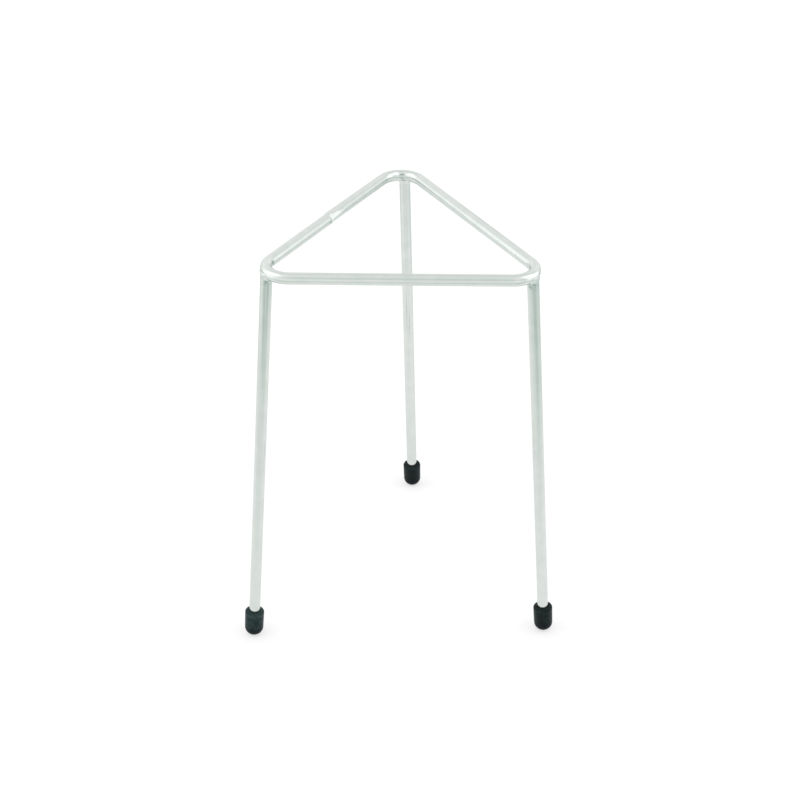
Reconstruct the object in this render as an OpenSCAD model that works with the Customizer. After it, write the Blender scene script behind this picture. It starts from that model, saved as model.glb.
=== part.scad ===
// Lab tripod stand: a bent rod ring on three welded rod legs with rubber feet.
// Millimetres. +Z is up, the origin is on the bench under the middle of the ring,
// and +Y points at the back bend. "Sideways" is counter-clockwise seen from above.

/* [Rod] */
// Diameter of the round rod that the ring and the legs are cut from
rod_d = 6; // [5:0.25:7]
// Bevel on the cut lower end of each leg
rod_bevel = 0.4; // [0.2:0.1:0.8]

/* [Ring] */
// Height of the stand, from the bench to the top of the ring
stand_h = 225; // [180:5:270]
// Side of the ring's triangle, on the rod's centre line, as if its corners were sharp
ring_side = 150; // [120:5:180]
// Radius of the three bends, at the middle of the rod
bend_r = 12; // [10:0.5:18]
// Angle by which the back bend falls short of a third of a turn
under_bend = 0.5; // [0:0.1:1]
// How much the rod fattens in a bend, all round
bend_swell = 0.03; // [0.02:0.01:0.1]

/* [Ring joint] */
// Distance from the back bend to the middle of the butt joint in the left side
joint_run = 54; // [25:1:60]
// Space between the rod's two ends, which the butt weld fills
joint_gap = 1.2; // [0.8:0.1:2]
// Width of the weld's collar along the rod
collar_w = 2.6; // [2.2:0.1:3.6]
// Height of the collar above the prouder of the two ends
collar_h = 0.15; // [0.15:0.05:0.5]
// Length of the flat that was filed on the back end of the rod
dress_l = 10; // [5:0.5:12]
// Depth of the filed flat at the joint
dress_depth = 0.4; // [0.2:0.05:0.5]
// Turn of the filed flat, from facing straight up towards the middle of the ring
dress_turn = 65; // [0:5:90]

/* [Legs] */
// Radius of the circle on the bench that the middle lines of the legs point at
foot_circle_r = 94; // [85:1:105]
// Distance that each leg is set out past the middle of the rod in its bend
head_out = 0.7; // [0:0.1:1.5]
// Sideways shift of the back leg at the ring
back_head_side = -1.8; // [-3:0.1:3]
// Sideways shift of the left leg at the ring
left_head_side = -0.8; // [-3:0.1:3]
// Sideways shift of the right leg at the ring
right_head_side = -0.8; // [-3:0.1:3]
// Sideways shift of the back leg at the bench
back_foot_side = -9; // [-12:0.5:12]
// Sideways shift of the left leg at the bench
left_foot_side = 3.4; // [-12:0.1:12]
// Sideways shift of the right leg at the bench
right_foot_side = 3.5; // [-12:0.1:12]
// Outward shift of the left leg at the bench
left_foot_out = 0.6; // [-3:0.1:3]
// Outward shift of the right leg at the bench
right_foot_out = -0.5; // [-3:0.1:3]

/* [Leg welds] */
// Distance that a leg's hot end was forged up past the underside of the ring
weld_sink = 1.2; // [0.6:0.1:1.8]
// Width of the weld's collar along the leg
weld_w = 4.8; // [4:0.2:7]
// Height of the collar's crown above the leg
weld_flare = 0.5; // [0.3:0.05:0.9]

/* [Rubber feet] */
// Length of a foot
foot_l = 15.8; // [13:0.2:20]
// Wall of a foot around the rod, at its open end
foot_wall = 2.3; // [1.8:0.05:3]
// Draft of a foot: how much thinner its wall is near the closed end
foot_draft = 0.15; // [0:0.05:0.3]
// Rubber under the end of the rod
foot_floor = 4; // [2.5:0.5:5]
// Radius of the flat in the middle of the domed bottom
foot_flat_r = 0.3; // [0.2:0.1:2]
// Radius of the rounded top edge
foot_lip_r = 1; // [0.4:0.1:1.2]
// Depth that the bench presses flat into the rubber
foot_press = 0.2; // [0.15:0.05:0.4]

/* [Hidden] */
$fn = 72;

plated = [0.80, 0.83, 0.81];
weld_metal = [0.70, 0.74, 0.72];
black_rubber = [0.12, 0.13, 0.13];

BACK = 0;
LEFT = 1;
RIGHT = 2;
corner_angle = [90, 210, 330];
head_side = [back_head_side, left_head_side, right_head_side];
foot_side = [back_foot_side, left_foot_side, right_foot_side];
foot_out = [0, left_foot_out, right_foot_out];
shortfall = [under_bend, 0, 0];

// The ring: its corners, its bends and the straight stretch between two bends.
// The straights run a little way into the bends, which are a hair fatter.
rod_r = rod_d / 2;
bend_rod_r = rod_r + bend_swell;
ring_z = stand_h - bend_rod_r;
straight_lap = 0.2;
bend_angle = 120;
corner_r = ring_side / sqrt(3);
bend_centre_r = corner_r - bend_r / cos(bend_angle / 2);
straight_l = ring_side - 2 * bend_r * tan(bend_angle / 2);

// The butt joint: how far apart the two ends lie, and the collar that covers both.
joint_miss = joint_run * sin(under_bend);
collar_r = rod_r + joint_miss / 2 + collar_h;
collar_crown = 0.1;

// The rubber feet.
foot_top_r = rod_r + foot_wall;
foot_base_r = foot_top_r - foot_draft;
foot_dome_r = foot_base_r - foot_flat_r;

// Radius of the arc that rises by a crown over a width.
function crown_r(width, crown) = (pow(width / 2, 2) + pow(crown, 2)) / (2 * crown);

function polar(i, out, side) =
    out * [cos(corner_angle[i]), sin(corner_angle[i])]
    + side * [-sin(corner_angle[i]), cos(corner_angle[i])];

// A leg's middle line: where it crosses the ring's middle plane and the bench.
function head(i) = concat(polar(i, corner_r - bend_r + head_out, head_side[i]), [ring_z]);
function foot(i) = concat(polar(i, foot_circle_r + foot_out[i], foot_side[i]), [0]);
function leg_line(i) = head(i) - foot(i);
function leg_tilt(i) = acos(leg_line(i).z / norm(leg_line(i)));
function leg_turn(i) = atan2(leg_line(i).y, leg_line(i).x);

// Places along a leg's middle line, counted from the bench.
function foot_start(i) =
    (foot_dome_r * (1 - cos(leg_tilt(i)))
     + foot_flat_r * sin(leg_tilt(i)) - foot_press) / cos(leg_tilt(i));
function leg_start(i) = foot_start(i) + foot_floor;
function ring_underside(i) = (ring_z - bend_rod_r) / cos(leg_tilt(i));

// Puts the origin at the centre of a bend, with +X pointing out of the corner.
module at_bend(i)
    rotate([0, 0, corner_angle[i]]) translate([bend_centre_r, 0, ring_z]) children();

// Puts the origin on a leg's middle line at the bench, with +Z up the leg.
module along_leg(i)
    translate(foot(i)) rotate([0, leg_tilt(i), leg_turn(i)]) children();

// Puts the origin in the middle of the butt joint, with +Z along the rod.
module at_joint()
    at_bend(BACK) rotate([0, 0, bend_angle / 2])
        translate([bend_r + joint_miss / 2, joint_run, 0]) rotate([-90, 0, 0]) children();

module bend(i)
    at_bend(i) rotate([0, 0, -bend_angle / 2])
        rotate_extrude(angle = bend_angle - shortfall[i])
            translate([bend_r, 0]) circle(r = bend_rod_r);

// A straight stretch of rod that leaves a bend, forwards or back round the ring.
module bar_after(i, length)
    at_bend(i) rotate([0, 0, bend_angle / 2 - shortfall[i]])
        translate([bend_r, -straight_lap, 0]) rotate([-90, 0, 0])
            cylinder(r = rod_r, h = straight_lap + length);

module bar_before(i, length)
    at_bend(i) rotate([0, 0, -bend_angle / 2])
        translate([bend_r, straight_lap, 0]) rotate([90, 0, 0])
            cylinder(r = rod_r, h = straight_lap + length);

// The metal that a file took off the back end of the rod and the weld: a block whose
// face is deepest at the joint and leaves the rod at dress_l.
module filed_away()
    at_joint() rotate([0, 0, 180 - dress_turn])
        translate([0, rod_r - sin(dress_turn) * joint_miss / 2 - dress_depth, 0])
            rotate([atan(dress_depth / dress_l), 0, 0])
                translate([-rod_d, 0, -2 * dress_l])
                    cube([2 * rod_d, rod_d, 2 * dress_l + joint_gap / 2]);

module ring_rod() {
    for (i = [BACK, LEFT, RIGHT]) bend(i);
    bar_after(BACK, joint_run - joint_gap / 2);
    bar_before(LEFT, straight_l - joint_run - joint_gap / 2);
    bar_after(LEFT, straight_l + straight_lap);
    bar_after(RIGHT, straight_l + straight_lap);
}

module ring()
    color(plated) difference() {
        ring_rod();
        filed_away();
    }

// A weld's collar round +Z: crowned, and filled to its middle line.
module collar(radius, width, crown)
    rotate_extrude() intersection() {
        translate([radius - crown_r(width, crown), 0])
            circle(r = crown_r(width, crown), $fn = 3 * $fn);
        translate([0, -width / 2]) square([radius, width]);
    }

// The butt weld is filed level with the top of the ring, so that what stands there
// doesn't rock.
module ring_weld()
    color(weld_metal) difference() {
        at_joint() collar(collar_r, collar_w, collar_crown);
        bar_after(BACK, joint_run - joint_gap / 2);
        bar_before(LEFT, straight_l - joint_run - joint_gap / 2);
        filed_away();
        translate([-ring_side, -ring_side, stand_h]) cube([2 * ring_side, 2 * ring_side, rod_d]);
    }

module leg_blank(i)
    along_leg(i) translate([0, 0, leg_start(i)]) {
        length = ring_underside(i) + weld_sink - leg_start(i);
        cylinder(r1 = rod_r - rod_bevel, r2 = rod_r, h = rod_bevel);
        translate([0, 0, rod_bevel]) cylinder(r = rod_r, h = length - rod_bevel);
    }

module leg(i)
    color(plated) difference() {
        leg_blank(i);
        bend(i);
    }

module leg_weld(i)
    color(weld_metal) difference() {
        along_leg(i) translate([0, 0, ring_underside(i)])
            collar(rod_r + weld_flare, weld_w, weld_flare);
        leg_blank(i);
        bend(i);
    }

// Half of a foot's section, from its middle line outwards.
module foot_half_section() {
    lip_z = foot_l - foot_lip_r;
    square([foot_flat_r, foot_dome_r]);
    intersection() {
        translate([foot_flat_r, foot_dome_r]) circle(r = foot_dome_r);
        square([foot_base_r, foot_dome_r]);
    }
    polygon([[0, foot_dome_r], [foot_base_r, foot_dome_r], [foot_top_r, lip_z], [0, lip_z]]);
    translate([foot_top_r - foot_lip_r, lip_z]) circle(r = foot_lip_r);
    translate([0, lip_z]) square([foot_top_r - foot_lip_r, foot_lip_r]);
}

module rubber_foot(i)
    color(black_rubber) difference() {
        along_leg(i) translate([0, 0, foot_start(i)]) difference() {
            rotate_extrude() foot_half_section();
            translate([0, 0, foot_floor]) cylinder(r = rod_r, h = foot_l);
        }
        translate([foot(i).x, foot(i).y, -foot_l / 2])
            cube([4 * foot_top_r, 4 * foot_top_r, foot_l], center = true);
    }

ring();
ring_weld();
leg(BACK);  // leg_back
leg(LEFT);  // leg_left
leg(RIGHT);  // leg_right
leg_weld(BACK);  // weld_back
leg_weld(LEFT);  // weld_left
leg_weld(RIGHT);  // weld_right
rubber_foot(BACK);  // foot_back
rubber_foot(LEFT);  // foot_left
rubber_foot(RIGHT);  // foot_right
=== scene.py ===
"""A lab tripod stand in a plain white studio.

A ring bent from plated rod and closed by a butt weld, three plated legs welded under its bends,
and a black rubber foot on each leg. Lengths are in metres.
"""

import math
import bpy
import numpy as np
from mathutils import Matrix, Vector


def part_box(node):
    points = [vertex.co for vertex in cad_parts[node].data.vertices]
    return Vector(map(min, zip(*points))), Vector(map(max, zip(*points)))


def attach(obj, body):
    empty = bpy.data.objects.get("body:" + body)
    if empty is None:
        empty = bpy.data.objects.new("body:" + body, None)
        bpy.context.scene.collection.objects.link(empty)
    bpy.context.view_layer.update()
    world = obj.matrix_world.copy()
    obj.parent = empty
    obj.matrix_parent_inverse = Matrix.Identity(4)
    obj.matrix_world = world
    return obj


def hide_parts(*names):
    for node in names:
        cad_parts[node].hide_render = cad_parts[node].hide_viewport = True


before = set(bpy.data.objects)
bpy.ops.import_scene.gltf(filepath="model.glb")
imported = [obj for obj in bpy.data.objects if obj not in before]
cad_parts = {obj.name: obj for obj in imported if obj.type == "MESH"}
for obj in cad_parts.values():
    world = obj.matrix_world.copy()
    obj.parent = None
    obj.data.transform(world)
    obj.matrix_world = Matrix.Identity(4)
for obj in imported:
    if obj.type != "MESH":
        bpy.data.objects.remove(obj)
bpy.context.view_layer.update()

MM = 0.001

# ---------------------------------------------------------------- sizes in the part's source

# The rod, which is a hair fatter in the ring's bends.
ROD_R = 3.0 * MM
BEND_ROD_R = 3.03 * MM

# The ring: three straights and three bends, the back bend short by UNDER_BEND.
RING_SIDE = 150 * MM
BEND_R = 12 * MM
UNDER_BEND = math.radians(0.5)

# The butt joint in the ring's left side, which faces SIDE_ANGLE. It is JOINT_RUN along that side
# from the back bend.
SIDE_ANGLE = math.radians(150)
JOINT_RUN = 54 * MM
JOINT_GAP = 1.2 * MM
JOINT_WELD_W = 2.6 * MM

# The flat that is filed over the joint, on the ring's inner side.
DRESS_L = 10 * MM
DRESS_DEPTH = 0.4 * MM
DRESS_TURN = math.radians(65)
DRESS_PAST = 1.8 * MM

# Where each leg stands and meets the ring: out from the middle, and to the side of the corner.
CORNERS = ("back", "left", "right")
CORNER_ANGLE = {"back": 90, "left": 210, "right": 330}
FOOT_CIRCLE_R = 94 * MM
FOOT_OUT = {"back": 0.0, "left": 0.6 * MM, "right": -0.5 * MM}
FOOT_SIDE = {"back": -9 * MM, "left": 3.4 * MM, "right": 3.5 * MM}
HEAD_OUT = 0.7 * MM
HEAD_SIDE = {"back": -1.8 * MM, "left": -0.8 * MM, "right": -0.8 * MM}
LEG_BEVEL = 0.4 * MM

# A foot: a dome with a small flat, a wall with a little draft, a rounded lip and a blind bore.
# The bench presses it flat by FOOT_PRESS.
FOOT_L = 15.8 * MM
FOOT_FLOOR = 4 * MM
FOOT_TOP_R = 5.3 * MM
FOOT_BASE_R = 5.15 * MM
FOOT_FLAT_R = 0.3 * MM
FOOT_DOME_R = FOOT_BASE_R - FOOT_FLAT_R
FOOT_LIP_R = 1.0 * MM
FOOT_PRESS = 0.2 * MM

RING_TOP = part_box("ring")[1].z
RING_Z = RING_TOP - BEND_ROD_R
CORNER_R = RING_SIDE / math.sqrt(3)
BEND_CENTRE_R = CORNER_R - 2 * BEND_R
STRAIGHT_L = RING_SIDE - 2 * BEND_R * math.sqrt(3)
JOINT_MISS = JOINT_RUN * math.sin(UNDER_BEND)
UP = np.array([0.0, 0.0, 1.0])

# ---------------------------------------------------------------- sizes of the scene's detail

# How fine the meshes are: points round each piece, and rows along it.
ROD_COLS = 64
FOOT_COLS = 96
WELD_COLS = 120
RING_STEP = 0.7 * MM
BEND_STEP = 0.6 * RING_STEP
LEG_STEP = 2 * MM
DOME_ROWS, WALL_ROWS, LIP_ROWS, MOUTH_ROWS, BORE_ROWS = 28, 14, 10, 6, 8
JOINT_ROWS = 41

EDGE = 0.01 * MM  # a second row this close to a rod's end keeps its edge crisp
BEND_EASE = 2 * MM  # the run over which the rod grows fatter into a bend
LEG_SINK = 1.2 * MM  # how far a leg's top runs into the ring
FOOT_MOUTH_R = 0.25 * MM  # the rounding of a foot's mouth
AXIS_R = 0.02 * MM  # where a foot's section stops short of its axis
TINY = 1e-6  # the least slope that a division may meet

# A leg's weld: its rows above and below the rod's underside and the radii that are searched,
# in mm, as (first, end, step).
COLLAR_ROWS = (-3.6, 3.3, 0.1)
COLLAR_RADII = (2.7, 4.31, 0.02)
COLLAR_BEAD = (0.35, 0.3)  # the bead's radius and what its lumps add, in mm
COLLAR_BEAD_IN = 0.2 * MM  # how far into the leg the bead's middle may lie
COLLAR_FILLET = 1.9 * MM
COLLAR_BLEND = 0.8 * MM
COLLAR_PROUD = 0.012 * MM
COLLAR_SINK = 0.02 * MM  # the weld's lower edge sinks into the leg by this over COLLAR_SINK_ROWS
COLLAR_SINK_ROWS = 8

# The butt weld: its skin over the rod, and the bead's height and what its lumps add, in mm.
JOINT_SKIN = 0.008 * MM
JOINT_BEAD = (0.03, 0.12)
JOINT_FLAT_PROUD = 0.004 * MM  # over the rod's own filed flat
JOINT_SEED = 1.0

# ---------------------------------------------------------------- meshes

UV_NAME = "rod"


def level(angle):
    """The level unit vector at an angle from +X towards +Y."""
    return np.array([math.cos(angle), math.sin(angle), 0.0])


def quarter_turn(way):
    """A level vector turned by a right angle, from +X towards +Y."""
    return np.array([-way[1], way[0], 0.0])


def polar(corner, out, side=0.0):
    """A point on the bench: out from the middle towards a corner, then to the side."""
    way = level(math.radians(CORNER_ANGLE[corner]))
    return out * way + side * quarter_turn(way)


def bend_centre(corner):
    return polar(corner, BEND_CENTRE_R) + RING_Z * UP


def leg_line(corner):
    """A leg's middle line: its point on the bench, its direction, and its length up to the
    ring's middle plane."""
    foot = polar(corner, FOOT_CIRCLE_R + FOOT_OUT[corner], FOOT_SIDE[corner])
    head = polar(corner, CORNER_R - BEND_R + HEAD_OUT, HEAD_SIDE[corner]) + RING_Z * UP
    length = np.linalg.norm(head - foot)
    return foot, (head - foot) / length, length


def turns(count):
    """Even angles, once round."""
    return np.linspace(0, 2 * math.pi, count, endpoint=False)


def spokes(phi, first, second):
    """Unit vectors at the angles phi, from the direction first towards the direction second."""
    return np.cos(phi)[:, None] * first + np.sin(phi)[:, None] * second


def leg_spokes(phi, way):
    """Unit vectors round a leg, square to its direction."""
    side = np.cross(UP, way)
    side /= np.linalg.norm(side)
    return spokes(phi, side, np.cross(way, side))


def turned(start, way, along, radii, cols):
    """The grid of a turned surface, with the given radii at distances along a line."""
    ways = leg_spokes(turns(cols), way)
    return start + along[:, None, None] * way + radii[:, None, None] * ways


def tube(name, grid, radius, along, material):
    """A smooth-shaded piece with closed ends over a grid of points: rows along a path, columns
    round it. Its UVs are in metres, round it at the radius and along it."""
    rows, cols = grid.shape[:2]
    round_it = np.linspace(0, 2 * math.pi * radius, cols + 1)
    verts = list(grid.reshape(-1, 3))
    faces, uvs = [], []
    for i in range(rows - 1):
        for j in range(cols):
            k = (j + 1) % cols
            faces.append((i * cols + j, i * cols + k, (i + 1) * cols + k, (i + 1) * cols + j))
            for row, col in ((i, j), (i, j + 1), (i + 1, j + 1), (i + 1, j)):
                uvs.append((round_it[col], along[row]))
    for row in (0, rows - 1):
        centre = len(verts)
        verts.append(grid[row].mean(0))
        for j in range(cols):
            a, b = row * cols + j, row * cols + (j + 1) % cols
            faces.append((centre, b, a) if row == 0 else (centre, a, b))
            uvs += [(0.0, along[row])] * 3

    mesh = bpy.data.meshes.new(name)
    mesh.from_pydata([tuple(v) for v in verts], [], faces)
    layer = mesh.uv_layers.new(name=UV_NAME)
    layer.data.foreach_set("uv", np.array(uvs, np.float32).ravel())
    mesh.polygons.foreach_set("use_smooth", [True] * len(mesh.polygons))
    mesh.validate()
    mesh.update()
    mesh.materials.append(material)
    piece = bpy.data.objects.new(name, mesh)
    bpy.context.scene.collection.objects.link(piece)
    return piece


def ring_path():
    """The ring rod's middle line, from the butt joint round and back to it: its points, the
    outward direction at each, the distance along, and how far each is into a bend, 0 to 1."""
    points, outs, bent = [], [], []

    def straight(start, angle, length):
        out = level(angle)
        along = quarter_turn(out)
        count = max(2, int(round(length / RING_STEP)))
        for s in np.linspace(0, length, count, endpoint=False):
            points.append(start + s * along)
            outs.append(out)
            bent.append(0.0)
        return start + length * along

    def arc(corner, sweep):
        first = math.radians(CORNER_ANGLE[corner] - 60)
        centre = bend_centre(corner)
        count = int(round(sweep * BEND_R / BEND_STEP))
        for t in np.linspace(0, sweep, count, endpoint=False):
            points.append(centre + BEND_R * level(first + t))
            outs.append(level(first + t))
            bent.append(min(1.0, t * BEND_R / BEND_EASE, (sweep - t) * BEND_R / BEND_EASE))
        return centre + BEND_R * level(first + sweep), first + sweep

    third = math.radians(120)
    out = level(SIDE_ANGLE)
    past_joint = JOINT_RUN + JOINT_GAP / 2
    start = bend_centre("back") + BEND_R * out + past_joint * quarter_turn(out)
    straight(start, SIDE_ANGLE, STRAIGHT_L - JOINT_RUN - JOINT_GAP / 2)
    for corner, sweep in (("left", third), ("right", third), ("back", third - UNDER_BEND)):
        end, angle = arc(corner, sweep)
        if corner != "back":
            straight(end, angle, STRAIGHT_L)
    last = straight(end, angle, JOINT_RUN - JOINT_GAP / 2)

    first_edge = points[0] + EDGE * quarter_turn(outs[0])
    last_edge = last - EDGE * quarter_turn(outs[-1])
    points = np.array([points[0], first_edge, *points[1:], last_edge, last])
    outs = np.array([outs[0], *outs, outs[-1], outs[-1]])
    bent = np.array([0.0, *bent, 0.0, 0.0])
    steps = np.linalg.norm(np.diff(points, axis=0), axis=1)
    return points, outs, np.concatenate([[0], np.cumsum(steps)]), bent


def joint_frame():
    """The butt joint's middle point, the outward direction there and the rod's direction."""
    out = level(SIDE_ANGLE)
    along = quarter_turn(out)
    middle = bend_centre("back") + (BEND_R + JOINT_MISS / 2) * out + JOINT_RUN * along
    return middle, out, along


def filed_plane():
    """A point on the filed flat and its normal."""
    middle, out, along = joint_frame()
    facing = -math.sin(DRESS_TURN) * out + math.cos(DRESS_TURN) * UP
    depth = ROD_R - math.sin(DRESS_TURN) * JOINT_MISS / 2 - DRESS_DEPTH
    tilt = math.atan(DRESS_DEPTH / DRESS_L)
    return middle + depth * facing, math.cos(tilt) * facing + math.sin(tilt) * along


def filed(centre, ways, radii):
    """The radii in the directions ways from a centre, cut back to the filed flat."""
    point, normal = filed_plane()
    reach = -((centre - point) @ normal)
    slope = ways @ normal
    limit = np.where(slope > TINY, reach / np.maximum(slope, TINY), np.inf)
    return np.minimum(radii, limit)


def ring_rod(material):
    """The ring's rod, filed flat on both sides of its butt joint."""
    points, outs, along, bent = ring_path()
    phi = turns(ROD_COLS)
    before_joint = along[-1] - along < 2 * DRESS_L
    past_joint = along < DRESS_PAST - JOINT_GAP / 2
    near_joint = before_joint | past_joint
    grid = np.zeros((len(points), ROD_COLS, 3))
    for i, point in enumerate(points):
        ways = spokes(phi, outs[i], UP)
        r = np.full(ROD_COLS, ROD_R + (BEND_ROD_R - ROD_R) * bent[i])
        if near_joint[i]:
            r = filed(point, ways, r)
        grid[i] = point + r[:, None] * ways
    # The columns are turned round so that the faces look outward.
    return tube("ring_rod", grid[:, ::-1], ROD_R, along, material)


def foot_start(corner):
    """How far up the leg's line from the bench the rubber foot's end lies."""
    _, way, _ = leg_line(corner)
    tilt = math.acos(way[2])
    dome = FOOT_DOME_R * (1 - math.cos(tilt)) + FOOT_FLAT_R * math.sin(tilt)
    return (dome - FOOT_PRESS) / math.cos(tilt)


def leg_rod(corner, material):
    """A leg, from a bevelled end in its foot up into the ring's bend."""
    foot, way, length = leg_line(corner)
    start = foot_start(corner) + FOOT_FLOOR
    top = length - BEND_ROD_R / way[2] + LEG_SINK
    shaft = np.arange(start + LEG_STEP, top, LEG_STEP)
    along = np.concatenate([[start, start + LEG_BEVEL], shaft, [top]])
    radii = np.full(len(along), ROD_R)
    radii[0] = ROD_R - LEG_BEVEL
    grid = turned(foot, way, along, radii, ROD_COLS)
    return tube("rod_leg_" + corner, grid, ROD_R, along, material)


def foot_section():
    """A foot's radii and heights, from the middle of its end up its outside and down its bore."""
    section = [(AXIS_R, 0.0), (FOOT_FLAT_R, 0.0)]
    for a in np.linspace(0, math.pi / 2, DOME_ROWS)[1:]:
        r = FOOT_FLAT_R + FOOT_DOME_R * math.sin(a)
        section.append((r, FOOT_DOME_R * (1 - math.cos(a))))
    lip_z = FOOT_L - FOOT_LIP_R
    for t in np.linspace(0, 1, WALL_ROWS)[1:]:
        r = FOOT_BASE_R + (FOOT_TOP_R - FOOT_BASE_R) * t
        section.append((r, FOOT_DOME_R + (lip_z - FOOT_DOME_R) * t))
    for a in np.linspace(0, math.pi / 2, LIP_ROWS)[1:]:
        r = FOOT_TOP_R - FOOT_LIP_R * (1 - math.cos(a))
        section.append((r, lip_z + FOOT_LIP_R * math.sin(a)))
    for a in np.linspace(0, math.pi / 2, MOUTH_ROWS):
        r = ROD_R + FOOT_MOUTH_R * (1 - math.sin(a))
        section.append((r, FOOT_L - FOOT_MOUTH_R * (1 - math.cos(a))))
    bore_top = FOOT_L - FOOT_MOUTH_R
    for t in np.linspace(0, 1, BORE_ROWS)[1:]:
        section.append((ROD_R, bore_top - (bore_top - FOOT_FLOOR) * t))
    section.append((AXIS_R, FOOT_FLOOR))
    return np.array(section).T


def rubber_foot(corner, material):
    """A foot round its leg's end, pressed a little flat where it meets the bench."""
    foot, way, _ = leg_line(corner)
    r, z = foot_section()
    grid = turned(foot + foot_start(corner) * way, way, z, r, FOOT_COLS)
    grid[..., 2] = np.maximum(grid[..., 2], 0.0)
    along = np.concatenate([[0], np.cumsum(np.hypot(np.diff(r), np.diff(z)))])
    return tube("rubber_foot_" + corner, grid, FOOT_BASE_R, along, material)


def smooth_min(a, b, k):
    h = np.maximum(k - np.abs(a - b), 0) / k
    return np.minimum(a, b) - h * h * k / 4


def lumps(turn, along, seed):
    """A slow uneven wave between 0 and 1 over a weld, by the turn round it and the distance
    along it. It is the same for the same seed."""
    a = along / MM
    wave = (
        np.sin(3 * turn + 1.7 * a + seed)
        + 0.8 * np.sin(5 * turn - 2.3 * a + 2.1 * seed)
        + 0.6 * np.sin(9 * turn + 3.9 * a + 0.7 * seed)
    )
    return np.clip(0.5 + wave / 4.0, 0, 1)


def first_outside(radii, depth):
    """The radius at which depth first rises past 0. depth has a row for each direction."""
    outside = depth > 0
    after = np.where(outside.any(1), outside.argmax(1), len(radii) - 1)
    before = np.maximum(after - 1, 0)
    rows = np.arange(len(depth))
    d0, d1 = depth[rows, before], depth[rows, after]
    share = np.where(np.abs(d1 - d0) > 1e-12, -d0 / (d1 - d0 + 1e-15), 0)
    return radii[before] + np.clip(share, 0, 1) * (radii[after] - radii[before])


def leg_collar(corner, material):
    """The weld under a corner: a lumpy bead that follows the seam of the leg and the ring's
    bend."""
    foot, way, length = leg_line(corner)
    underside = length - BEND_ROD_R / way[2]
    along = np.arange(*COLLAR_ROWS) * MM + underside
    radii = np.arange(*COLLAR_RADII) * MM
    phi = turns(WELD_COLS)
    ways = leg_spokes(phi, way)
    centre = bend_centre(corner)
    bead_r, bead_lumps = COLLAR_BEAD
    d_leg = radii[None, :] - ROD_R
    grid = np.zeros((len(along), WELD_COLS, 3))
    for i, s in enumerate(along):
        middle = foot + s * way
        q = middle + radii[None, :, None] * ways[:, None, :] - centre
        d_ring = np.hypot(np.hypot(q[..., 0], q[..., 1]) - BEND_R, q[..., 2]) - BEND_ROD_R
        bead = (bead_r + bead_lumps * lumps(phi, s, CORNER_ANGLE[corner]))[:, None] * MM
        d_seam = np.hypot(np.maximum(d_leg, -COLLAR_BEAD_IN), d_ring) - bead
        depth = smooth_min(smooth_min(d_leg, d_ring, COLLAR_FILLET), d_seam, COLLAR_BLEND)
        sunk = COLLAR_SINK * max(0.0, 1 - i / COLLAR_SINK_ROWS)
        r = first_outside(radii, depth - COLLAR_PROUD + sunk)
        grid[i] = middle + r[:, None] * ways
    return tube("collar_" + corner, grid, ROD_R, along, material)


def joint_weld(material):
    """The butt weld: a low uneven bead from one rod end to the other, filed flat on its inner
    side and level with the ring's top."""
    middle, out, along = joint_frame()
    half = JOINT_WELD_W / 2
    inner = np.linspace(-half + EDGE, half - EDGE, JOINT_ROWS)
    stations = np.concatenate([[-half], inner, [half]])
    phi = turns(WELD_COLS)
    ways = spokes(phi, out, UP)
    rise = ways[:, 2]
    top = np.where(rise > 1e-3, (RING_TOP - middle[2]) / np.maximum(rise, TINY), np.inf)
    bead_h, bead_lumps = JOINT_BEAD

    def rod_end(shift):
        return shift * np.cos(phi) + np.sqrt(ROD_R**2 - (shift * np.sin(phi)) ** 2)

    rows = []
    for s in stations:
        t = 0.5 + s / JOINT_WELD_W
        t = t * t * (3 - 2 * t)
        r = (1 - t) * rod_end(JOINT_MISS / 2) + t * rod_end(-JOINT_MISS / 2)
        bead = (1 - (2 * s / JOINT_WELD_W) ** 2) ** 2
        r = r + JOINT_SKIN + bead * (bead_h + bead_lumps * lumps(phi, s, JOINT_SEED)) * MM
        flat = filed(middle + s * along, ways, r)
        proud = JOINT_FLAT_PROUD if abs(s) > JOINT_GAP / 2 else 0.0
        r = np.minimum(np.where(flat < r, flat + proud, r), top)
        rows.append(middle + s * along + r[:, None] * ways)
    return tube("joint_weld", np.array(rows)[:, ::-1], ROD_R, stations, material)


# ---------------------------------------------------------------- shader nodes

TONE_SPAN = (0.35, 0.65)  # the part of a noise that a tone runs over
ROUGH_SPAN = (0.3, 0.7)  # the part of a noise that roughness runs over
BRIGHTEST = 1.3  # the most that a graph of light levels can give


def feed(tree, slot, value):
    """Links a socket to an input, or sets the input to a constant."""
    if isinstance(value, bpy.types.NodeSocket):
        tree.links.new(value, slot)
    else:
        slot.default_value = value


def add_node(tree, kind, inputs, **settings):
    """A node with its own settings and its inputs, each a socket or a constant."""
    node = tree.nodes.new(kind)
    for key, value in settings.items():
        setattr(node, key, value)
    for key, value in inputs.items():
        feed(tree, node.inputs[key], value)
    return node


def shader(name):
    """A new material, its node tree and its Principled shader."""
    material = bpy.data.materials.new(name)
    material.use_nodes = True
    return material, material.node_tree, material.node_tree.nodes["Principled BSDF"]


def object_place(tree):
    return add_node(tree, "ShaderNodeTexCoord", {}).outputs["Object"]


def axes(tree, vector):
    """The outputs X, Y and Z of a vector."""
    return add_node(tree, "ShaderNodeSeparateXYZ", {0: vector}).outputs


def noise(tree, vector, scale, detail, rough=0.5):
    inputs = {"Vector": vector, "Scale": scale, "Detail": detail, "Roughness": rough}
    return add_node(tree, "ShaderNodeTexNoise", inputs).outputs["Fac"]


def ramp(tree, amount, stops):
    """A colour by an amount from 0 to 1, through (amount, colour) stops."""
    node = add_node(tree, "ShaderNodeValToRGB", {"Fac": amount})
    elements = node.color_ramp.elements
    while len(elements) < len(stops):
        elements.new(0.5)
    for element, (at, colour) in zip(elements, stops):
        element.position = at
        element.color = (*colour, 1)
    return node.outputs["Color"]


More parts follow.
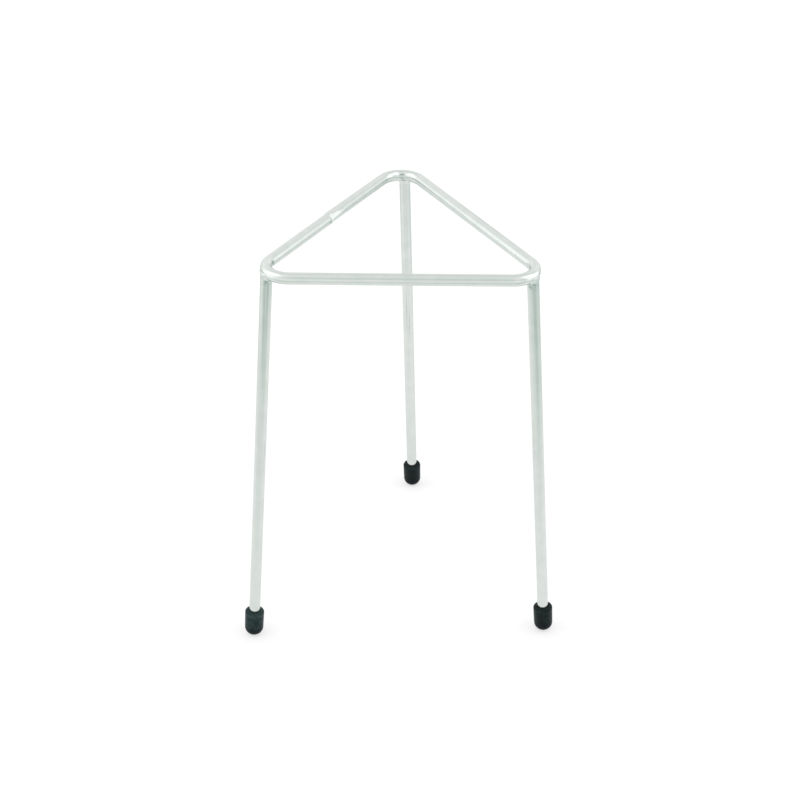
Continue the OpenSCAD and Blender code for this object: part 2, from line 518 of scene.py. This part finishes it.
def math_node(tree, operation, first, second=0.0):
    """A Math node. first and second are sockets or numbers."""
    return add_node(tree, "ShaderNodeMath", {0: first, 1: second}, operation=operation).outputs[0]


def vector_node(tree, operation, first, second):
    """A Vector Math node over two sockets. SCALE takes its number from the second."""
    slot = "Scale" if operation == "SCALE" else 1
    node = add_node(tree, "ShaderNodeVectorMath", {0: first, slot: second}, operation=operation)
    return node.outputs["Vector"]


def length_of(tree, vector):
    node = add_node(tree, "ShaderNodeVectorMath", {0: vector}, operation="LENGTH")
    return node.outputs["Value"]


def graph(tree, value, stops, top=1.0):
    """A smooth graph through (value, result) stops, flat past both ends. top is the most that
    it can give."""
    low, high = stops[0][0], stops[-1][0]
    inputs = {"Value": value, "From Min": low, "From Max": high}
    share = add_node(tree, "ShaderNodeMapRange", inputs)
    colours = [((x - low) / (high - low), (y / top,) * 3) for x, y in stops]
    return math_node(tree, "MULTIPLY", ramp(tree, share.outputs["Result"], colours), top)


def blend(tree, amount, first, second):
    """A colour between first and second, which are sockets or colours."""
    first, second = ((*c, 1) if isinstance(c, tuple) else c for c in (first, second))
    inputs = {0: amount, 6: first, 7: second}
    return add_node(tree, "ShaderNodeMix", inputs, data_type="RGBA").outputs[2]


def mark(tree, where, centre, size, turn=0.0, core=0.3):
    """1 in an ellipsoid's core, a share of its size, and 0 outside it. turn is round Z."""
    inputs = {"Vector": where, "Location": centre, "Rotation": (0, 0, turn), "Scale": size}
    near = add_node(tree, "ShaderNodeMapping", inputs, vector_type="TEXTURE")
    return graph(tree, length_of(tree, near.outputs["Vector"]), [(core, 1.0), (1.0, 0.0)])


def two_tones(tree, amount, dark, light):
    return ramp(tree, amount, list(zip(TONE_SPAN, (dark, light))))


def set_roughness(tree, bsdf, grain, low, high):
    """Roughness from low to high, by a noise."""
    start, end = ROUGH_SPAN
    inputs = {"Value": grain, "From Min": start, "From Max": end, "To Min": low, "To Max": high}
    share = add_node(tree, "ShaderNodeMapRange", inputs)
    feed(tree, bsdf.inputs["Roughness"], share.outputs["Result"])


def set_bump(tree, bsdf, height, distance):
    inputs = {"Strength": 1.0, "Distance": distance, "Height": height}
    feed(tree, bsdf.inputs["Normal"], add_node(tree, "ShaderNodeBump", inputs).outputs["Normal"])


# ---------------------------------------------------------------- plating

PLATING_DARK = (0.63, 0.66, 0.64)
PLATING_LIGHT = (0.67, 0.695, 0.675)
PLATING_TINT = (0.92, 0.93, 0.925, 1)  # towards the edge, where metal is seen at a slant
DRAWN_SCALE = (4200, 60, 1)  # streaks per metre, round the rod and along it
DRAWN_DEPTH = 0.0004 * MM
PLATING_ROUGH = (0.8, 1.25)  # the least and most, as shares of a material's own roughness
CLOUD_SCALE = 160
SPECK_SCALE = 700
SPECKS = [(0.45, 0.0), (0.65, 1.0)]

# The front legs and their welds take a green painted shade towards the ring, under which it
# stands for shade. By height, it sets how much of the plating's colour they keep, and by Y
# where the painted shade ends: the back leg has none.
PAINTED_GREEN_SHADE = (0.26, 0.36, 0.315)
PAINTED_SHADE_HEIGHTS = [(0.15, 1.0), (0.205, 0.93), (0.2165, 0.85), (0.2190, 0.9), (0.2192, 1.0)]
PAINTED_SHADE_END = [(-0.02, 0.0), (0.02, 1.0)]

# Painted reflection: dark spots in the highlights of the back and left bends.
PAINTED_DARK_REFLECTION = (0.30, 0.36, 0.33)
# A faint grey: a painted dark reflection on the right bend, and grey spots by the joint.
FAINT = (0.42, 0.49, 0.45)
# Painted shade: two greys for the creases beside the welds' beads.
PAINTED_CREASE_SHADE = (0.34, 0.43, 0.385)
DARK = (0.24, 0.31, 0.275)
# Painted shade: a grey that dims the reflections along the back bend's inner side and underside,
# and on the rod behind the joint.
PAINTED_DIM_SHADE = (0.53, 0.57, 0.55)
STREAK = (0.56, 0.60, 0.575)
SPECK = (0.42, 0.5, 0.46)
# Painted highlight: white patches on the bends that stand in for the softboxes' reflection.
PAINTED_HIGHLIGHT = (0.97, 0.98, 0.97)


def mm(*numbers):
    return tuple(n * MM for n in numbers)


# Marks on the plating, most of them painted highlights, painted reflections and painted shade, as
# (centre, size, colour) or (centre, size, colour, turn).
BACK_PAINTED_LIGHT = [
    (mm(-0.2, 71.8, 223.68), mm(6.2, 1.9, 0.68), PAINTED_HIGHLIGHT),
    (mm(-2.9, 72.1, 224.3), mm(2.4, 1.8, 0.7), PAINTED_HIGHLIGHT),
    (mm(0.5, 71.8, 223.75), mm(2.3, 1.2, 0.8), PAINTED_DARK_REFLECTION),
    (mm(-5.3, 69.9, 221.3), mm(3.2, 2.4, 0.9), PAINTED_DIM_SHADE),
    (mm(4.2, 70.5, 221.3), mm(5.5, 2.6, 1.0), PAINTED_DIM_SHADE),
    (mm(0, 71.7, 222.9), mm(4.8, 1.4, 0.5), PAINTED_DIM_SHADE),
]
FRONT_MARKS_AND_PAINTED_LIGHT = [
    (mm(-63.0, -28.9, 222.7), mm(1.5, 1.8, 1.8), PAINTED_DARK_REFLECTION),
    # Painted reflection: a faint dark spot on the inside of the right bend.
    (mm(63.6, -35.3, 224.2), mm(1.2, 1.4, 1.2), FAINT),
    (mm(66.6, -39.4, 223.2), mm(2.2, 3.4, 1.1), PAINTED_HIGHLIGHT),
    (mm(44.3, 11.7, 224.8), mm(42, 1.2, 1.6), STREAK, math.radians(120)),
]
JOINT_MARKS_AND_SHADE = [
    (mm(-36.1, 17.7, 221.6), mm(1.4, 2.2, 1.3), FAINT),
    (mm(-35.3, 19.5, 222.1), mm(1.3, 1.5, 1.2), FAINT),
    (mm(-30.5, 29.0, 223.75), mm(3.4, 1.4, 1.0), PAINTED_DIM_SHADE, math.radians(60)),
]
# Painted shade in the creases beside the back weld's bead.
BACK_SEAM_SHADE = [
    (mm(0.3, 71.6, 221.8), mm(1.9, 1.2, 0.55), PAINTED_CREASE_SHADE),
    (mm(1.3, 71.9, 220.5), mm(2.4, 1.4, 0.6), DARK),
]
# Painted shade in the creases of the front welds.
FRONT_WELD_SHADE = [
    (mm(-65.6, -40.1, 218.2), mm(1.3, 1.3, 1.5), PAINTED_CREASE_SHADE),
    (mm(65.0, -41.3, 218.9), mm(1.5, 1.4, 1.1), PAINTED_CREASE_SHADE),
    (mm(63.4, -41.0, 217.2), mm(1.5, 1.4, 1.0), PAINTED_CREASE_SHADE),
]

# Where the welds are speckled, as (centre, size).
SPECKLED = [
    (mm(-65.5, -38.0, 218.0), mm(6, 6, 4)),
    (mm(65.0, -39.0, 218.0), mm(6, 6, 4)),
]


def plated(name, roughness, marks, speckled=()):
    """Bright plating with drawn streaks, slow clouds, speckled places, a painted green shade and
    marks, most of them painted light.
    """
    material, tree, bsdf = shader(name)
    where = object_place(tree)
    uv = add_node(tree, "ShaderNodeUVMap", {}, uv_map=UV_NAME).outputs["UV"]
    drawn = add_node(tree, "ShaderNodeMapping", {"Vector": uv, "Scale": DRAWN_SCALE})
    streaks = noise(tree, drawn.outputs["Vector"], 1.0, 4)
    clouds = noise(tree, where, CLOUD_SCALE, 3)
    colour = two_tones(tree, clouds, PLATING_DARK, PLATING_LIGHT)
    xyz = axes(tree, where)
    # Painted shade: the front legs and their welds darken to a green grey towards the ring above
    # them.
    unshaded = graph(tree, xyz["Z"], PAINTED_SHADE_HEIGHTS)
    unshaded = math_node(tree, "MAXIMUM", unshaded, graph(tree, xyz["Y"], PAINTED_SHADE_END))
    colour = blend(tree, unshaded, PAINTED_GREEN_SHADE, colour)
    if speckled:
        specks = graph(tree, noise(tree, where, SPECK_SCALE, 3, 0.6), SPECKS)
        place = None
        for centre, size in speckled:
            here = mark(tree, where, centre, size, core=0.5)
            place = here if place is None else math_node(tree, "MAXIMUM", place, here)
        colour = blend(tree, math_node(tree, "MULTIPLY", place, specks), colour, SPECK)
    # Marks, most of them painted highlights, painted reflections and painted shade.
    for centre, size, paint, *turn in marks:
        colour = blend(tree, mark(tree, where, centre, size, *turn), colour, paint)
    feed(tree, bsdf.inputs["Base Color"], colour)
    set_roughness(tree, bsdf, streaks, *(roughness * share for share in PLATING_ROUGH))
    set_bump(tree, bsdf, streaks, DRAWN_DEPTH)
    bsdf.inputs["Metallic"].default_value = 1.0
    bsdf.inputs["Specular Tint"].default_value = PLATING_TINT
    return material


# ---------------------------------------------------------------- rubber

RUBBER_DARK = (0.003, 0.008, 0.008)
RUBBER_LIGHT = (0.011, 0.023, 0.023)
# Painted light: the paler tones of the left foot, as if the left softbox lit it more.
PAINTED_LIT_DARK = (0.012, 0.026, 0.027)
PAINTED_LIT_LIGHT = (0.038, 0.066, 0.066)
# Painted shade: the domed end is darker, where the bench shades it.
DOME_PAINTED_SHADE = (0.004, 0.007, 0.010)
# Painted highlight: a pale wavy line under each foot's lip, where its rounded rim catches the
# light; strongest on the left foot.
LIP_HIGHLIGHT_COLOUR = (0.07, 0.105, 0.098)
BLOTCH_SCALE = 450
LIP_HIGHLIGHT_SCALE = 420
GRAIN_SCALE = 1800
GRAIN_DEPTH = 0.01 * MM
RUBBER_ROUGH = (0.36, 0.48)
LEFT_FOOT_LIT = [(-0.06, 1.0), (-0.03, 0.0)]  # by X
DOME_SHADE_HEIGHTS = [(3.5 * MM, 1.0), (8 * MM, 0.0)]  # by height
LIP_HIGHLIGHT_WAVE = 4 * MM
LIP_HIGHLIGHT = [(16.2 * MM, 0.0), (16.6 * MM, 0.9), (17.0 * MM, 0.0)]  # by height, with the wave
LIP_HIGHLIGHT_LEAST = 0.35  # of the left foot's painted highlight, on the other two


def rubber(name):
    """Black rubber with a green cast: blotchy, with painted shade on the domed end and a painted
    highlight line under the lip. The left foot is painted palest, as if lit more from the left."""
    material, tree, bsdf = shader(name)
    where = object_place(tree)
    xyz = axes(tree, where)
    blotches = noise(tree, where, BLOTCH_SCALE, 4, 0.6)
    tone = two_tones(tree, blotches, RUBBER_DARK, RUBBER_LIGHT)
    painted_lit = two_tones(tree, blotches, PAINTED_LIT_DARK, PAINTED_LIT_LIGHT)
    # Painted light: the left foot is paler, as if lit more from the left.
    left = graph(tree, xyz["X"], LEFT_FOOT_LIT)
    colour = blend(tree, left, tone, painted_lit)
    # Painted shade on the domed end, by height.
    colour = blend(tree, graph(tree, xyz["Z"], DOME_SHADE_HEIGHTS), colour, DOME_PAINTED_SHADE)
    # Painted highlight: a wavy pale line under the lip, weaker on the feet other than the left.
    wave = math_node(tree, "MULTIPLY", noise(tree, where, LIP_HIGHLIGHT_SCALE, 1), LIP_HIGHLIGHT_WAVE)
    lip_highlight = graph(tree, math_node(tree, "ADD", xyz["Z"], wave), LIP_HIGHLIGHT)
    share = math_node(tree, "MAXIMUM", left, LIP_HIGHLIGHT_LEAST)
    lip_highlight = math_node(tree, "MULTIPLY", lip_highlight, share)
    colour = blend(tree, lip_highlight, colour, LIP_HIGHLIGHT_COLOUR)
    feed(tree, bsdf.inputs["Base Color"], colour)
    set_roughness(tree, bsdf, blotches, *RUBBER_ROUGH)
    set_bump(tree, bsdf, noise(tree, where, GRAIN_SCALE, 2), GRAIN_DEPTH)
    bsdf.inputs["IOR"].default_value = 1.5
    bsdf.inputs["Specular IOR Level"].default_value = 0.1
    return material


# ---------------------------------------------------------------- pieces

ROD = plated("plated_rod", 0.10, BACK_PAINTED_LIGHT + FRONT_MARKS_AND_PAINTED_LIGHT + JOINT_MARKS_AND_SHADE + BACK_SEAM_SHADE)
WELD = plated("plated_weld", 0.11, JOINT_MARKS_AND_SHADE + FRONT_WELD_SHADE + BACK_SEAM_SHADE, SPECKLED)
RUBBER = rubber("black_rubber")

# Each piece, the node that it replaces, and its slot.
pieces = [
    (ring_rod(ROD), "ring", "plated_rod"),
    (joint_weld(WELD), "ring_weld", "plated_weld"),
]
for corner in CORNERS:
    pieces += [
        (leg_rod(corner, ROD), "leg_" + corner, "plated_rod"),
        (leg_collar(corner, WELD), "weld_" + corner, "plated_weld"),
        (rubber_foot(corner, RUBBER), "foot_" + corner, "black_rubber"),
    ]
for piece, node, slot in pieces:
    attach(piece, "root")
    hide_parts(node)

# ---------------------------------------------------------------- stage

# What polished metal shows is a little greener where it is dimmer: the red and blue shares,
# by level.
CAST_RED = [(0.7, 0.89), (0.9, 0.92), (1.0, 0.96), (1.12, 1.0)]
CAST_BLUE = [(0.7, 0.95), (0.9, 0.965), (1.0, 0.985), (1.12, 1.0)]

# The room: AMBIENT lights the object, SHOWN is what the camera sees, and ROOM and SIDES are what
# polished metal shows. ROOM is by the angle up over the object from behind it, in degrees, and
# SIDES is added to it, by how far to the right the ray goes.
AMBIENT = 0.8
SHOWN = 1.02
ROOM = [
    (-20, 0.97), (-8, 0.98), (4, 1.05), (20, 1.07), (32, 1.1), (44, 1.0), (55, 0.95), (66, 0.96),
    (80, 1.01), (92, 1.07), (108, 1.05), (125, 0.99), (136, 0.93), (146, 0.90), (156, 0.93),
    (166, 1.0), (174, 1.15), (180, 1.18),
]
SIDES = [
    (-0.8, 0.0), (-0.64, 0.09), (-0.45, 0.11), (-0.25, 0.08), (-0.12, 0.05), (0.0, 0.0),
    (0.12, 0.0), (0.22, 0.08), (0.45, 0.1), (0.63, 0.04), (0.8, 0.0),
]

# The floor: a round sheet that keeps the object's shadow and is topped up to WHITE where it is
# seen. PAPER is its own brightness under the lamps, by distance from the middle. POLISHED is how
# polished metal shows it, by distance too. ENDS is how far that goes over to END_LEVEL, by
# distance in front or behind, and GLARE adds patches, as (centre, size, gain).
FLOOR_R = 2.5
FLOOR_SIDES = 96
PAPER_COLOUR = (0.5, 0.5, 0.5, 1)
WHITE = 1.04
PAPER = [(0.0, 0.46), (2.5, 0.41)]
POLISHED = [(0.1, 1.07), (0.22, 1.04), (0.4, 0.93)]
ENDS = [(0.1, 0.0), (0.35, 1.0)]
END_LEVEL = 0.98
GLARE = [
    ((-0.72, -0.05, 0), (0.55, 0.38, 1), 0.18),
    ((0.24, 0.02, 0), (0.26, 0.25, 1), 0.07),
    ((-0.24, 0.05, 0), (0.2, 0.2, 1), 0.06),
    ((0.65, 0.32, 0), (0.45, 0.25, 1), -0.12),
    ((-0.17, -0.49, 0), (0.43, 0.14, 1), -0.22),
    ((0.27, -0.39, 0), (0.34, 0.19, 1), -0.2),
    ((0, -1.1, 0), (1.2, 0.5, 1), 0.18),
    ((0, -0.55, 0), (0.1, 0.16, 1), 0.18),
    ((-0.15, 0.23, 0), (0.15, 0.16, 1), 0.08),
]

# The softboxes stand from BOX_FOOT up. BOX_HEIGHTS is their brightness from foot to head.
BOX_FOOT = 0.02
BOX_RADIANCE = 0.62
BOX_HEIGHTS = [
    (0.0, 0.6), (0.08, 0.7), (0.19, 0.8), (0.28, 1.0), (0.45, 1.0), (0.75, 0.7), (1.0, 0.2),
]
LEFT_BOX = [
    (-148, 0.0), (-140, 0.12), (-127, 0.4), (-114, 0.85), (-104, 1.0), (-76, 1.0), (-70, 0.84),
    (-66, 0.56), (-52, 0.25),
]
RIGHT_BOX = [
    (52, 0.1), (66, 0.28), (75, 0.85), (82, 1.0), (107, 1.0), (116, 0.7), (122, 0.2), (128, 0.0),
]


def cast(tree, level_shown):
    """The colour of what polished metal shows at a level of brightness."""
    red = graph(tree, level_shown, CAST_RED, BRIGHTEST)
    blue = graph(tree, level_shown, CAST_BLUE, BRIGHTEST)
    inputs = {"Red": red, "Green": 1.0, "Blue": blue}
    return add_node(tree, "ShaderNodeCombineColor", inputs).outputs["Color"]


def ray_kinds(tree):
    """1 for a glossy ray, and 1 for a ray from the camera or through glass."""
    path = add_node(tree, "ShaderNodeLightPath", {}).outputs
    seen = math_node(tree, "MAXIMUM", path["Is Camera Ray"], path["Is Transmission Ray"])
    return path["Is Glossy Ray"], seen


def studio_world():
    world = bpy.data.worlds.new("studio")
    bpy.context.scene.world = world
    world.use_nodes = True
    tree = world.node_tree
    tree.nodes.clear()
    way = axes(tree, add_node(tree, "ShaderNodeTexCoord", {}).outputs["Generated"])
    over = math_node(tree, "ARCTAN2", way["Z"], way["Y"])
    room = graph(tree, over, [(math.radians(x), y) for x, y in ROOM], BRIGHTEST)
    room = math_node(tree, "ADD", room, graph(tree, way["X"], SIDES))
    glossy, seen = ray_kinds(tree)
    colour = blend(tree, glossy, (1.0, 1.0, 1.0), cast(tree, room))
    more = math_node(tree, "MULTIPLY", glossy, math_node(tree, "SUBTRACT", room, AMBIENT))
    more = math_node(tree, "ADD", more, math_node(tree, "MULTIPLY", seen, SHOWN - AMBIENT))
    strength = math_node(tree, "ADD", more, AMBIENT)
    sky = add_node(tree, "ShaderNodeBackground", {"Color": colour, "Strength": strength})
    add_node(tree, "ShaderNodeOutputWorld", {"Surface": sky.outputs[0]})


def floor_material():
    material = bpy.data.materials.new("white_floor")
    material.use_nodes = True
    tree = material.node_tree
    tree.nodes.clear()
    place = add_node(tree, "ShaderNodeNewGeometry", {}).outputs["Position"]
    reach = length_of(tree, place)
    own = graph(tree, reach, PAPER, BRIGHTEST)
    metal = graph(tree, reach, POLISHED, BRIGHTEST)
    ends = math_node(tree, "ABSOLUTE", axes(tree, place)["Y"])
    ends = graph(tree, ends, ENDS, BRIGHTEST)
    lift = math_node(tree, "MULTIPLY", ends, math_node(tree, "SUBTRACT", END_LEVEL, metal))
    metal = math_node(tree, "ADD", metal, lift)
    for centre, size, gain in GLARE:
        shine = mark(tree, place, centre, size, core=0.25)
        metal = math_node(tree, "ADD", metal, math_node(tree, "MULTIPLY", shine, gain))
    glossy, seen = ray_kinds(tree)
    shown = vector_node(tree, "SCALE", cast(tree, metal), metal)
    shown = vector_node(tree, "SUBTRACT", shown, own)
    shown = vector_node(tree, "SCALE", shown, glossy)
    topped = math_node(tree, "MULTIPLY", seen, math_node(tree, "SUBTRACT", WHITE, own))
    colour = vector_node(tree, "ADD", shown, topped)
    paper = add_node(tree, "ShaderNodeBsdfDiffuse", {"Color": PAPER_COLOUR})
    glow = add_node(tree, "ShaderNodeEmission", {"Color": colour})
    both = add_node(tree, "ShaderNodeAddShader", {0: paper.outputs[0], 1: glow.outputs[0]})
    add_node(tree, "ShaderNodeOutputMaterial", {"Surface": both.outputs[0]})
    return material


def softbox(name, azimuth, distance, width, head, across):
    """An upright soft panel that faces the object. Azimuth 0 is behind the object, at +Y, and
    90 at +X. across is the panel's brightness as the object sees it, as (azimuth, share)."""
    lamp = bpy.data.lights.new(name, "AREA")
    lamp.shape = "RECTANGLE"
    lamp.size, lamp.size_y = width, head - BOX_FOOT
    lamp.energy = BOX_RADIANCE * math.pi * width * (head - BOX_FOOT)
    lamp.use_nodes = True
    tree = lamp.node_tree
    face = axes(tree, add_node(tree, "ShaderNodeNewGeometry", {}).outputs["Parametric"])
    stops = [
        (0.5 - math.tan(math.radians(a - azimuth)) * distance / width, share)
        for a, share in across
    ]
    wide = graph(tree, face["X"], sorted(stops))
    tall = graph(tree, face["Y"], BOX_HEIGHTS)
    strength = tree.nodes["Emission"].inputs["Strength"]
    feed(tree, strength, math_node(tree, "MULTIPLY", wide, tall))
    panel = bpy.data.objects.new(name, lamp)
    bpy.context.scene.collection.objects.link(panel)
    way = Vector((math.sin(math.radians(azimuth)), math.cos(math.radians(azimuth)), 0))
    panel.location = way * distance + Vector((0, 0, (BOX_FOOT + head) / 2))
    panel.rotation_euler = way.to_track_quat("Z", "Y").to_euler()
    panel.visible_camera = False


studio_world()
floor_mesh = bpy.data.meshes.new("floor")
rim = [FLOOR_R * level(2 * math.pi * i / FLOOR_SIDES) for i in range(FLOOR_SIDES)]
floor_mesh.from_pydata([tuple(p) for p in rim], [], [list(range(FLOOR_SIDES))])
floor_mesh.materials.append(floor_material())
floor = bpy.data.objects.new("floor", floor_mesh)
bpy.context.scene.collection.objects.link(floor)
softbox("softbox_left", -100, 0.83, 2.0, 2.4, LEFT_BOX)
softbox("softbox_right", 93, 0.85, 1.5, 2.0, RIGHT_BOX)

# ---------------------------------------------------------------- camera

# Azimuth is from -Y towards +X, elevation and roll are in degrees, and the lens is in mm.
VIEW_AZIMUTH = -0.05
VIEW_ELEVATION = 34.42
VIEW_ROLL = 0.58
VIEW_DISTANCE = 0.87989
VIEW_TARGET = Vector((0, 0, 0.1))
SENSOR_WIDTH = 36
LENS = 71.725
SHIFT_X, SHIFT_Y = 0.00154, 0.04519
CLIP_START, CLIP_END = 0.01, 20

a, e, roll = (math.radians(x) for x in (VIEW_AZIMUTH, VIEW_ELEVATION, VIEW_ROLL))
back = Vector((math.sin(a) * math.cos(e), -math.cos(a) * math.cos(e), math.sin(e)))
level_right = Vector((math.cos(a), math.sin(a), 0))
level_up = level_right.cross(-back)
right = math.cos(roll) * level_right + math.sin(roll) * level_up
up = -math.sin(roll) * level_right + math.cos(roll) * level_up
camera_data = bpy.data.cameras.new("camera")
camera_data.sensor_width = SENSOR_WIDTH
camera_data.lens = LENS
camera_data.shift_x, camera_data.shift_y = SHIFT_X, SHIFT_Y
camera_data.clip_start, camera_data.clip_end = CLIP_START, CLIP_END
camera = bpy.data.objects.new("camera", camera_data)
bpy.context.scene.collection.objects.link(camera)
turn = Matrix((right, up, back)).transposed().to_4x4()
camera.matrix_world = Matrix.Translation(VIEW_TARGET + VIEW_DISTANCE * back) @ turn
bpy.context.scene.camera = camera
bpy.context.scene.view_settings.view_transform = "Standard"
